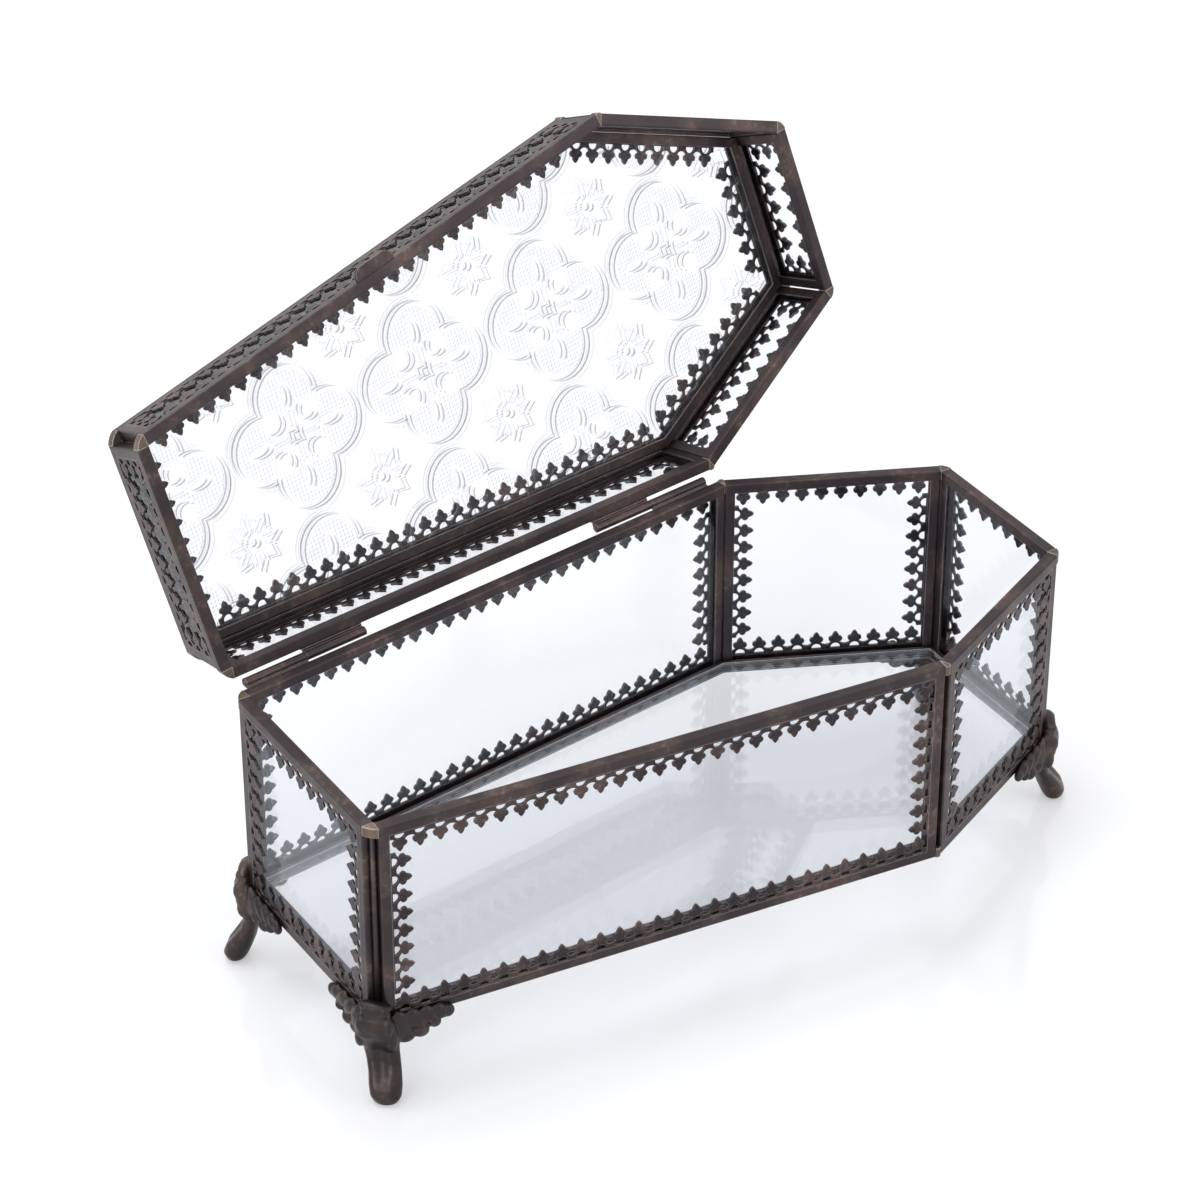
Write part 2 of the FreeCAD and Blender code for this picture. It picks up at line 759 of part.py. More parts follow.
def hinge(name, middle, base_first):
    """One hinge: a base knuckle, a lid knuckle and the pin through both.

    The middle is the distance of the joint between the knuckles from the middle
    of the wall. The base knuckle lies on the narrow end's side if it comes first.
    """
    frame = frame_placement(HINGE_POINT, HINGE_ALONG, HINGE_OUT)
    space, length = value("knuckle_space"), value("knuckle_length")

    def shifted(distance):
        return frame.multiply(Placement(Vector(distance, 0, 0), Rotation()))

    first, second = middle - space / 2 - length, middle + space / 2
    base_at, lid_at = (first, second) if base_first else (second, first)
    knuckle(f"{name}_hinge_base_leaf", shifted(base_at), base_leaf_outline(), "pin_radius")
    knuckle(
        f"{name}_hinge_lid_leaf",
        OPEN_LID.multiply(shifted(lid_at)),
        lid_leaf_outline(),
        BORE,
    )
    hinge_pin(f"{name}_hinge_pin", shifted(first))


def hinge_pin(label, placement):
    """Round pin with a thin riveted head against each end of the two knuckles."""
    body = add_body(label, placement)
    half_profile = add_sketch(body, "HalfProfile", "XY_Plane")
    run = "(2 * knuckle_length + knuckle_space)"
    draw_outline(
        half_profile,
        [
            ("-pin_head_thick", "0"),
            (f"{run} + pin_head_thick", "0"),
            (f"{run} + pin_head_thick", "0.7 * pin_head_radius"),
            (run, "pin_head_radius"),
            (run, "pin_radius"),
            ("0", "pin_radius"),
            ("0", "pin_head_radius"),
            ("-pin_head_thick", "0.7 * pin_head_radius"),
        ],
    )
    turned = body.newObject("PartDesign::Revolution", "Pin")
    turned.Profile = half_profile
    turned.ReferenceAxis = (half_profile, ["H_Axis"])
    turned.Angle = 360
    return body


def lift_tab():
    """Thumb tab on the outer face of the front long lid side, level with its rim."""
    front = lid_side_placement(SIDES[0])
    on_face = Placement(Vector(0, 0, value(CAME)), Rotation(Vector(1, 0, 0), 90))
    body = add_body("lift_tab", OPEN_LID.multiply(front).multiply(on_face))
    sketch = add_sketch(body, "Outline")
    draw_outline(
        sketch,
        [
            ("-tab_width / 2", "0"),
            ("tab_width / 2", "0"),
            ("0.26 * tab_width", "tab_reach"),
            ("-0.26 * tab_width", "tab_reach"),
        ],
        {
            1: ("0.44 * tab_width", "0.72 * tab_reach"),
            3: ("-0.44 * tab_width", "0.72 * tab_reach"),
        },
    )
    add_pad(body, "Tab", sketch, "tab_thick", reverse=True)
    return body


# Base: walls, floor and feet.
for side in SIDES:
    outline = side.wall_outline()
    placement = wall_placement(side)
    channel_frame(
        f"{side.name}_frame", placement, closed_at_middle(outline), "YZ_Plane",
        ("0", "+"),
    )
    pane(f"{side.name}_glass", placement, panel_pane_outline(side, leaning=False))
    panel_lace(f"{side.name}_lace", placement, outline, ends_run_through=False)

floor_outline = plan_corners()
ring_start = [("plan_length", "0")] + floor_outline[3:] + floor_outline[:3]
channel_frame(
    "floor_frame", Placement(UP * FLOOR_Z, Rotation()), ring_start, "XZ_Plane",
    ("plan_length", "-"), lip="floor_lip",
)
pane("floor_glass", Placement(UP * FLOOR_Z, Rotation()), plan_corners(PANE_INSET))
base_solder()
for label, index in FEET.items():
    foot(label, index)

# Lid: leaning sides, top pane, solder and tab, all turned open about the hinge line.
for side in SIDES:
    outline = side.lid_outline()
    placement = OPEN_LID.multiply(lid_side_placement(side))
    channel_frame(
        f"lid_{side.name}_frame", placement, closed_at_middle(outline), "YZ_Plane",
        ("0", "+"),
    )
    pane(f"lid_{side.name}_glass", placement, panel_pane_outline(side, leaning=True))
    panel_lace(f"lid_{side.name}_lace", placement, outline, ends_run_through=True)

top_outline = plan_corners("lid_inset")
top_start = [("plan_length - lid_inset", "0")] + top_outline[3:] + top_outline[:3]
TOP_Z = LID_RIM_Z + value(f"lid_height - {CAME}")
top_placement = OPEN_LID.multiply(Placement(UP * TOP_Z, Rotation()))
channel_frame("lid_top_frame", top_placement, top_start, "XZ_Plane",
              ("(plan_length - lid_inset)", "-"))
pane("lid_top_glass", top_placement, plan_corners(f"(lid_inset + {PANE_INSET})"))
ring_lace("lid_top_lace", top_placement, top_outline)
lid_solder()
lift_tab()

HALF_WALL = value(LONG_SIDE) / 2
hinge("narrow", value("narrow_hinge_at") - HALF_WALL, base_first=True)
hinge("shoulder", HALF_WALL - value("shoulder_hinge_at"), base_first=False)

doc.recompute()

nodes = [item for item in doc.Objects if item.TypeId in ("PartDesign::Body", "Part::Feature")]

for item in doc.Objects:
    if "Invalid" in item.State or "Error" in item.State:
        raise RuntimeError(f"{item.Label} did not compute: {item.State}")
for node in nodes:
    if node.Shape.isNull() or not node.Shape.isValid():
        raise RuntimeError(f"{node.Label} has no valid shape")

# The part's origin is on the floor, under the middle of the box and its open lid.
extent = FreeCAD.BoundBox()
for node in nodes:
    extent.add(node.Shape.optimalBoundingBox(False))
centre = Vector((extent.XMin + extent.XMax) / 2, (extent.YMin + extent.YMax) / 2, 0)
for node in nodes:
    node.Placement = Placement(centre * -1, Rotation()).multiply(node.Placement)

os.makedirs("parts", exist_ok=True)
for node in nodes:
    node.Shape.exportStep(f"parts/{node.Label}.step")
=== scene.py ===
"""Finishes, relief, light and camera for the coffin-shaped glass trinket box.

The solids of the box are the frame. They keep their shape and are given their finish,
except the cast feet, which are replaced by fuller pieces. Solder seams are added at the
corners. All lengths are metres, but the tables of the feet are in millimetres. Box
axes: X from the narrow end to the head end, Y to the back.
"""

import json
import logging
import math
from dataclasses import dataclass, field
from enum import Enum
from typing import Any, Iterable, Optional, Union

import bmesh
import bpy
from mathutils import Matrix, Vector


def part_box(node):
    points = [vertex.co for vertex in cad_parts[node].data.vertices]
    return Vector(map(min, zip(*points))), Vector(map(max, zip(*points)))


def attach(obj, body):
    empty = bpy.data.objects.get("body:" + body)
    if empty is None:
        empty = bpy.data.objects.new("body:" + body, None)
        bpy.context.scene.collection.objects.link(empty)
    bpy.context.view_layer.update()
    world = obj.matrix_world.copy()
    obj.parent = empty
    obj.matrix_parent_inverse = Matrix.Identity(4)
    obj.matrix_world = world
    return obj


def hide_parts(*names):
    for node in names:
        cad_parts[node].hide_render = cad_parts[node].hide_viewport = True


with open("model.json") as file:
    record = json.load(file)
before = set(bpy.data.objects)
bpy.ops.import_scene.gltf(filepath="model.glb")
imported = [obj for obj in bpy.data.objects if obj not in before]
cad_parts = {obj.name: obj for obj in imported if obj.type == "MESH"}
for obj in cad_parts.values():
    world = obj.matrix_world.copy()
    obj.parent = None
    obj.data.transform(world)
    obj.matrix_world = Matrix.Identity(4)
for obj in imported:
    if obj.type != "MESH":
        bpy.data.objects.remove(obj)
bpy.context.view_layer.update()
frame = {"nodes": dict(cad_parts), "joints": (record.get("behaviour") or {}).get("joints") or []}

log = logging.getLogger("trinket_box")

MM = 0.001
UP = Vector((0.0, 0.0, 1.0))
Triple = tuple[float, float, float]
Colour = Triple


class Body(str, Enum):
    """The two bodies of the box that move against each other."""

    BASE = "base"
    LID = "lid"


class Slot(str, Enum):
    """Names of two material slots of the record, cast metal and solder."""

    CAST = "cast_metal"
    SOLDER = "solder"


class Signal:
    """An output of a shader node that can be used in sums with others and with numbers."""

    def __init__(self, recipe: "Recipe", socket: bpy.types.NodeSocket) -> None:
        """Wraps one output socket of a recipe's node."""
        self.recipe = recipe
        self.socket = socket

    def _sum(self, operation: str, left: Any, right: Any = 0.0, clamp: bool = False) -> "Signal":
        """Adds a Math node to the recipe and returns its result."""
        settings = {"operation": operation, "use_clamp": clamp}
        return self.recipe.node("ShaderNodeMath", settings, {0: left, 1: right})

    def __add__(self, other: Any) -> "Signal":
        """Sum of this signal and another or a number."""
        return self._sum("ADD", self, other)

    __radd__ = __add__

    def __sub__(self, other: Any) -> "Signal":
        """Difference of this signal and another or a number."""
        return self._sum("SUBTRACT", self, other)

    def __rsub__(self, other: Any) -> "Signal":
        """A number less this signal."""
        return self._sum("SUBTRACT", other, self)

    def __mul__(self, other: Any) -> "Signal":
        """Product of this signal and another or a number."""
        return self._sum("MULTIPLY", self, other)

    __rmul__ = __mul__

    def __truediv__(self, other: Any) -> "Signal":
        """This signal divided by another or a number."""
        return self._sum("DIVIDE", self, other)

    def __rtruediv__(self, other: Any) -> "Signal":
        """A number divided by this signal."""
        return self._sum("DIVIDE", other, self)

    def __pow__(self, exponent: float) -> "Signal":
        """This signal raised to a power."""
        return self._sum("POWER", self, exponent)

    def __abs__(self) -> "Signal":
        """Size of this signal without its sign."""
        return self._sum("ABSOLUTE", self)

    def root(self) -> "Signal":
        """Square root of this signal."""
        return self._sum("SQRT", self)

    def sine(self) -> "Signal":
        """Sine of this signal in radians."""
        return self._sum("SINE", self)

    def cosine(self) -> "Signal":
        """Cosine of this signal in radians."""
        return self._sum("COSINE", self)

    def angle_from(self, other: "Signal") -> "Signal":
        """Angle whose opposite side is this signal and whose other side is the other."""
        return self._sum("ARCTAN2", self, other)

    def folded(self, span: float) -> "Signal":
        """Signal that runs up to a span and back down again, over and over."""
        return self._sum("PINGPONG", self, span)

    def smaller(self, other: Any) -> "Signal":
        """The smaller of this signal and another."""
        return self._sum("MINIMUM", self, other)

    def larger(self, other: Any) -> "Signal":
        """The larger of this signal and another."""
        return self._sum("MAXIMUM", self, other)

    def clamped(self) -> "Signal":
        """This signal held between nought and one."""
        return self._sum("ADD", self, 0.0, clamp=True)

    def rising(self, start: float, end: float) -> "Signal":
        """Smooth step from nought at the start to one at the end, which may come first.

        Args:
            start: value of this signal at which the step is nought.
            end: value of this signal at which the step is one.

        Returns:
            The step, between nought and one.
        """
        settings = {"interpolation_type": "SMOOTHSTEP"}
        low, high = min(start, end), max(start, end)
        ends = (0.0, 1.0) if start < end else (1.0, 0.0)
        values = {"Value": self, "From Min": low, "From Max": high, "To Min": ends[0], "To Max": ends[1]}
        return self.recipe.node("ShaderNodeMapRange", settings, values)

    def line(self, centre: float, width: float) -> "Signal":
        """One on a line where this signal has a value, falling to nought beside it."""
        return abs(self - centre).rising(width, 0.0)


class Recipe:
    """Node tree of one material, built up node by node."""

    def __init__(self, name: str) -> None:
        """Starts an empty material with only its output node."""
        self.material = bpy.data.materials.new(name)
        self.material.use_nodes = True
        self.tree = self.material.node_tree
        self.tree.nodes.clear()
        self.end = self.tree.nodes.new("ShaderNodeOutputMaterial")

    def node(self, kind: str, settings: Optional[dict[str, Any]] = None,
             inputs: Optional[dict[Union[str, int], Any]] = None, output: Union[str, int] = 0) -> Signal:
        """Adds a node with its settings and inputs.

        Args:
            kind: the node's type.
            settings: the node's own options, set first; stops are a ramp's places and colours.
            inputs: signals, numbers or colours by socket name or place.
            output: name or place of the output that is returned.

        Returns:
            The wanted output of the node.
        """
        made = self.tree.nodes.new(kind)
        for name, setting in (settings or {}).items():
            if name == "stops":
                self._set_stops(made.color_ramp, setting)
            else:
                setattr(made, name, setting)
        for place, given in (inputs or {}).items():
            self._feed(made.inputs[place], given)
        return Signal(self, made.outputs[output])

    def _feed(self, socket: bpy.types.NodeSocket, given: Any) -> None:
        """Links a signal to a socket, or sets the socket's own value."""
        if isinstance(given, Signal):
            self.tree.links.new(given.socket, socket)
        elif isinstance(given, tuple) and socket.type == "RGBA" and len(given) == 3:
            socket.default_value = (*given, 1.0)
        else:
            socket.default_value = given

    @staticmethod
    def _set_stops(ramp: bpy.types.ColorRamp, stops: Iterable[tuple[float, Colour]]) -> None:
        """Gives a colour ramp its stops."""
        for index, (place, colour) in enumerate(stops):
            stop = ramp.elements[index] if index < 2 else ramp.elements.new(place)
            stop.position = place
            stop.color = (*colour, 1.0)

    def place(self) -> Signal:
        """Place on the object at rest, in metres."""
        return self.node("ShaderNodeTexCoord", output="Object")

    def along(self, direction: Vector, start: Optional[Vector] = None) -> Signal:
        """Distance along a direction from a start, in metres."""
        given = {0: self.place(), 1: tuple(direction)}
        reach = self.node("ShaderNodeVectorMath", {"operation": "DOT_PRODUCT"}, given, output="Value")
        return reach - (start or Vector()).dot(direction)

    def grain(self, size: float, detail: float = 3.0, roughness: float = 0.5) -> Signal:
        """Noise of about the given grain size.

        Args:
            size: width of one grain in metres.
            detail: number of finer layers on top.
            roughness: strength of the finer layers.

        Returns:
            The noise, around a half.
        """
        values = {"Vector": self.place(), "Scale": 1.0 / size, "Detail": detail, "Roughness": roughness}
        return self.node("ShaderNodeTexNoise", None, values)

    def blend(self, share: Any, first: Any, second: Any) -> Signal:
        """Colour that goes from the first to the second as the share rises."""
        settings = {"data_type": "RGBA", "clamp_factor": True}
        values = {0: share, 6: first, 7: second}
        return self.node("ShaderNodeMix", settings, values, output=2)

    def relief(self, height: Signal, depth: float, normal: Optional[Signal] = None) -> Signal:
        """Surface normal bent by a height, whose full range has the given depth."""
        values: dict[Union[str, int], Any] = {"Height": height, "Distance": depth, "Strength": 1.0}
        if normal is not None:
            values["Normal"] = normal
        return self.node("ShaderNodeBump", None, values)

    def rounded_edges(self, width: float) -> tuple[Signal, Signal]:
        """Normal rounded over the edges, and a mask that is high where they are.

        Args:
            width: reach of the rounding in metres.

        Returns:
            The rounded normal and the mask.
        """
        rounded = self.node("ShaderNodeBevel", {"samples": 6}, {"Radius": width})
        flat = self.node("ShaderNodeNewGeometry", output="Normal")
        given = {0: rounded, 1: flat}
        match = self.node("ShaderNodeVectorMath", {"operation": "DOT_PRODUCT"}, given, output="Value")
        return rounded, (1.0 - match).rising(0.01, 0.16)

    def glass_gloss(self, normal: Optional[Signal] = None) -> Signal:
        """Share of light that a pane's face throws back, the same on both of its sides."""
        values = {"Blend": 0.5} if normal is None else {"Blend": 0.5, "Normal": normal}
        facing = self.node("ShaderNodeLayerWeight", None, values, output="Facing")
        return 0.04 + facing ** 5.0 * 0.9

    def close(self, surface: Signal) -> bpy.types.Material:
        """Ends the material with its surface shader."""
        self.tree.links.new(surface.socket, self.end.inputs["Surface"])
        return self.material


@dataclass(frozen=True)
class Patina:
    """Dark antique bronze patina, browner in places, with its edges painted lighter, partly as rubbed wear
    and partly as a painted highlight along them.
    """

    name: str
    dark: Colour = (0.047, 0.037, 0.040)
    warm: Colour = (0.088, 0.062, 0.056)
    rubbed_and_highlight: Colour = (0.40, 0.34, 0.34)
    wear_and_highlight: float = 0.8
    edge: float = 0.35 * MM
    roughness: float = 0.40
    pitting: float = 0.05 * MM

    def make(self) -> bpy.types.Material:
        """Builds the material."""
        recipe = Recipe(self.name)
        clouds = recipe.grain(16 * MM, detail=4.0)
        cast = recipe.grain(2.2 * MM, detail=5.0, roughness=0.6)
        fine = recipe.grain(0.35 * MM, detail=2.0)
        rounded, edges = recipe.rounded_edges(self.edge)
        # Edges painted lighter: partly rubbed wear, partly a painted highlight along the edges.
        rub_and_edge_highlight = (edges * (0.35 + 1.1 * cast)).clamped() * self.wear_and_highlight
        haze = cast.rising(0.48, 0.80) * clouds.rising(0.40, 0.65) * 0.30
        base = recipe.blend(clouds.rising(0.42, 0.68), self.dark, self.warm)
        dusted = recipe.blend(haze, base, self.rubbed_and_highlight)
        colour = recipe.blend(rub_and_edge_highlight, dusted, self.rubbed_and_highlight)
        rough = self.roughness + 0.22 * (cast - 0.5) + 0.10 * (fine - 0.5) - 0.08 * rub_and_edge_highlight
        height = 0.7 * cast + 0.3 * fine
        values = {
            "Base Color": colour,
            "Metallic": 0.85,
            "Roughness": rough.clamped(),
            "Normal": recipe.relief(height, self.pitting, rounded),
        }
        return recipe.close(recipe.node("ShaderNodeBsdfPrincipled", None, values))


@dataclass(frozen=True)
class Pane:
    """Clear thin glass: mostly see-through, with clean reflections and a faint haze."""

    name: str
    tint: Colour = (0.963, 0.966, 0.976)
    gloss: float = 0.9

    def make(self) -> bpy.types.Material:
        """Builds the material."""
        recipe = Recipe(self.name)
        waves = recipe.grain(60 * MM, detail=1.0)
        haze = recipe.grain(9 * MM, detail=4.0)
        film = haze.rising(0.55, 0.85) * 0.015
        values = {
            "Base Color": (0.80, 0.85, 0.88),
            "Roughness": 0.02 + haze.rising(0.45, 0.8) * 0.08,
            "Specular IOR Level": 1.0,
            "Metallic": 1.0,
            "Normal": recipe.relief(waves, 0.3 * MM),
        }
        mirror = recipe.node("ShaderNodeBsdfPrincipled", None, values)
        clear = recipe.node("ShaderNodeBsdfTransparent", None, {"Color": self.tint})
        share = (recipe.glass_gloss() * self.gloss + film).clamped()
        return recipe.close(recipe.node("ShaderNodeMixShader", None, {0: share, 1: clear, 2: mirror}))


@dataclass(frozen=True)
class PressedGlass:
    """Pressed pane with four-lobed figures and eight-leaved star flowers between them.

    The figures stand on a square lattice, given by its step, one figure's middle and
    its two ways on the pane. Distances count from a figure far back on the lattice, so
    that they stay above nought over the whole pane. Shade and light on the relief are painted
    from one fixed side, by comparing its height with its height a small shift away.
    """

    name: str
    across: Vector
    upward: Vector
    figure_at: Vector
    step: float = 50.4 * MM
    lobe_at: float = 12.5 * MM
    stipple_step: float = 2.7 * MM
    painted_shade_shift: float = 0.38 * MM
    lattice_back: int = 40
    tint: Colour = (0.975, 0.978, 0.985)

    def _figure(self, lobe: Signal, far: Signal, near: Signal, stipple: Signal) -> Signal:
        """Height of a four-lobed figure: outlines, stippled ground, petals and curls.

        Args:
            lobe: distance to the middle of the nearest lobe.
            far: the larger of the two distances to the figure's middle lines.
            near: the smaller of them.
            stipple: rows of dots.

        Returns:
            The height, about one at its tallest.
        """
        rim = lobe.line(10.9 * MM, 0.8 * MM)
        halo = lobe.line(12.6 * MM, 0.6 * MM) * 0.45
        petal = ((far - 13.4 * MM) / (4.4 * MM)) ** 2.0 + (near / (2.0 * MM)) ** 2.0
        leaf = petal.rising(1.0, 0.35)
        curl_at = 6.4 * MM
        curl = ((far - curl_at) ** 2.0 + (near - curl_at) ** 2.0).root()
        hook = curl.line(3.2 * MM, 0.7 * MM) * (far + near).rising(14.0 * MM, 12.0 * MM)
        stem = near.line(0.0, 1.1 * MM) * far.rising(2.0 * MM, 3.0 * MM) * far.rising(8.5 * MM, 7.0 * MM)
        ground = lobe.rising(9.4 * MM, 8.9 * MM) * petal.rising(1.2, 1.6)
        ground = ground * (far + near).rising(7.0 * MM, 8.5 * MM) * curl.rising(3.9 * MM, 4.6 * MM)
        return rim + halo + leaf + hook * 0.9 + stem * 0.7 + ground * stipple * 0.34

    def _flower(self, first: Signal, second: Signal) -> Signal:
        """Height of an eight-leaved star flower, from its two distances to its middle."""
        reach = (first * first + second * second).root()
        aside = second.angle_from(first).folded(math.pi / 8.0)
        turned = (second.angle_from(first) + math.pi / 8.0).folded(math.pi / 8.0)
        along, beside = reach * aside.cosine(), reach * aside.sine()
        blade = (along * 0.36).smaller((10.4 * MM - along) * 0.7) - beside
        leaf = blade.rising(0.0, 0.6 * MM) * along.rising(3.0 * MM, 3.8 * MM)
        vein = beside.line(0.0, 0.6 * MM) * along.rising(9.0 * MM, 7.5 * MM)
        between = reach * turned.sine()
        seed = (((reach - 5.2 * MM) / (2.4 * MM)) ** 2.0 + (between / (0.7 * MM)) ** 2.0).rising(1.0, 0.3)
        return leaf * 0.7 - vein * leaf * 0.5 + seed * 0.8 + reach.rising(1.8 * MM, 1.0 * MM)

    def _height(self, recipe: Recipe, shift: float) -> Signal:
        """Height of the pattern at a small shift along both of its ways.

        Args:
            recipe: the material's node tree.
            shift: how far each way, in metres.

        Returns:
            The height, about one at its tallest.
        """
        half = self.step / 2.0
        whole = self.lattice_back * self.step + shift
        across = recipe.along(self.across, self.figure_at) + whole
        upward = recipe.along(self.upward, self.figure_at) + whole
        first, second = across.folded(half), upward.folded(half)
        far, near = first.larger(second), first.smaller(second)
        lobe = ((far - self.lobe_at) ** 2.0 + near * near).root()
        turn = 2.0 * math.pi / self.stipple_step
        rows = (across * turn).sine() * (upward * turn).sine()
        stipple = abs(rows).rising(0.15, 0.75)
        return self._figure(lobe, far, near, stipple) + self._flower(half - first, half - second)

    def make(self) -> bpy.types.Material:
        """Builds the material: clear glass with painted shade on the side of its relief that turns from a
        fixed light, and paler painted light on the other side.
        """
        recipe = Recipe(self.name)
        height = self._height(recipe, 0.0)
        # Height less the height a small shift away along both ways: this drives the painted shade and
        # light.
        slope = height - self._height(recipe, self.painted_shade_shift)
        ripple = recipe.grain(5 * MM, detail=3.0)
        relief = recipe.relief(height + ripple * 0.5, 0.5 * MM)
        # Painted shade and light: a grey share, strongest on the side of each line turned from a fixed
        # light, weaker on the other.
        painted_shade_and_light = slope.rising(0.04, 0.75) * 0.50 + (slope * -1.0).rising(0.08, 0.9) * 0.22
        body = {
            # Base colour painted dark on the shaded side of each line and pale grey on the lit side.
            "Base Color": recipe.blend(slope.rising(0.0, 0.6), (0.62, 0.63, 0.66), (0.16, 0.16, 0.18)),
            "Roughness": 0.22,
            "Normal": relief,
        }
        lit = recipe.node("ShaderNodeBsdfPrincipled", None, body)
        clear = recipe.node("ShaderNodeBsdfTransparent", None, {"Color": self.tint})
        haze = ripple.rising(0.52, 0.75) * 0.07
        share = (0.02 + painted_shade_and_light + haze + recipe.glass_gloss(relief) * 0.35).clamped()
        return recipe.close(recipe.node("ShaderNodeMixShader", None, {0: share, 1: clear, 2: lit}))


@dataclass
class Plan:
    """Sizes of the box, and where its corners and walls lie at rest."""

    shoulder_share: float = 186.0 / 250.0
    narrow_width: float = 74.4 * MM
    head_width: float = 56.2 * MM
    came: float = 3.9 * MM

    def corners(self) -> list[Vector]:
        """The six inner corners at the walls' lower edge, anticlockwise from the narrow front one."""
        low, high = (Vector(corner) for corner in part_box("floor_frame"))
        middle = (low.y + high.y) / 2.0
        shoulder = low.x + (high.x - low.x) * self.shoulder_share
        halves = (self.narrow_width / 2.0, (high.y - low.y) / 2.0, self.head_width / 2.0)
        spots = list(zip((low.x, shoulder, high.x), halves))
        front = [Vector((x, middle - half, low.z)) for x, half in spots]
        back = [Vector((x, middle + half, low.z)) for x, half in spots]
        return front + back[::-1]

    def run(self, index: int) -> Vector:
        """Direction of the wall that starts at a corner, towards the next corner."""
        corners = self.corners()
        return (corners[(index + 1) % 6] - corners[index % 6]).normalized()

    def outward(self, index: int) -> Vector:
        """Outward direction of the wall that starts at a corner."""
        return self.run(index).cross(UP)


def axes(origin: Vector, first: Vector, second: Vector) -> Matrix:
    """Placement with its X and Y along two directions and Z square to both."""
    turn = Matrix((first, second, first.cross(second))).transposed().to_4x4()
    return Matrix.Translation(origin) @ turn


def finished(name: str, mesh: bpy.types.Mesh, finish: bpy.types.Material, body: Body) -> bpy.types.Object:
    """Makes an object of a mesh that is already in place, and lets it ride on a body.

    Args:
        name: the piece's name.
        mesh: its mesh, in the frame's own place.
        finish: its material.
        body: the body that it moves with.

    Returns:
        The piece.
    """
    mesh.materials.clear()
    mesh.materials.append(finish)
    mesh.shade_smooth()
    piece = bpy.data.objects.new(name, mesh)
    bpy.context.scene.collection.objects.link(piece)
    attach(piece, body.value)
    log.info("%s: %d faces", name, len(mesh.polygons))
    return piece


def cast_as_one(name: str, shape: bmesh.types.BMesh, grain: float, smoothing: int) -> bpy.types.Mesh:
    """Fuses overlapping closed forms into one skin, as in a casting.

    Args:
        name: name of the new mesh.
        shape: the overlapping forms, freed here.
        grain: width of the skin's cells.
        smoothing: number of smoothing passes.

    Returns:
        The skin.
    """
    rough = bpy.data.meshes.new(name + "_rough")
    shape.to_mesh(rough)
    shape.free()
    carrier = bpy.data.objects.new(name + "_rough", rough)
    bpy.context.scene.collection.objects.link(carrier)
    fuse = carrier.modifiers.new("fuse", "REMESH")
    fuse.mode = "VOXEL"
    fuse.voxel_size = grain
    ease = carrier.modifiers.new("ease", "SMOOTH")
    ease.iterations = smoothing
    ease.factor = 0.5
    bpy.context.view_layer.update()
    skin = bpy.data.meshes.new_from_object(carrier.evaluated_get(bpy.context.evaluated_depsgraph_get()))
    skin.name = name
    bpy.data.objects.remove(carrier)
    bpy.data.meshes.remove(rough)
    return skin


@dataclass(frozen=True)
class Oval:
    """One level of a foot's leg: height, back and front reach, half width, dish and turn."""

    level: float
    back: float
    front: float
    half_width: float
    dish: float
    swing: float


@dataclass(frozen=True)
class Lump:
    """Egg-shaped lump: its middle, its three radii and its lean, in millimetres and radians."""

    at: Triple
    radii: Triple
    lean: float = 0.0


@dataclass(frozen=True)
class Lobe:
    """One lobe of a wing: how far along and how high it stands, and its half height and width."""

    along: float
    level: float
    tall: float
    wide: float


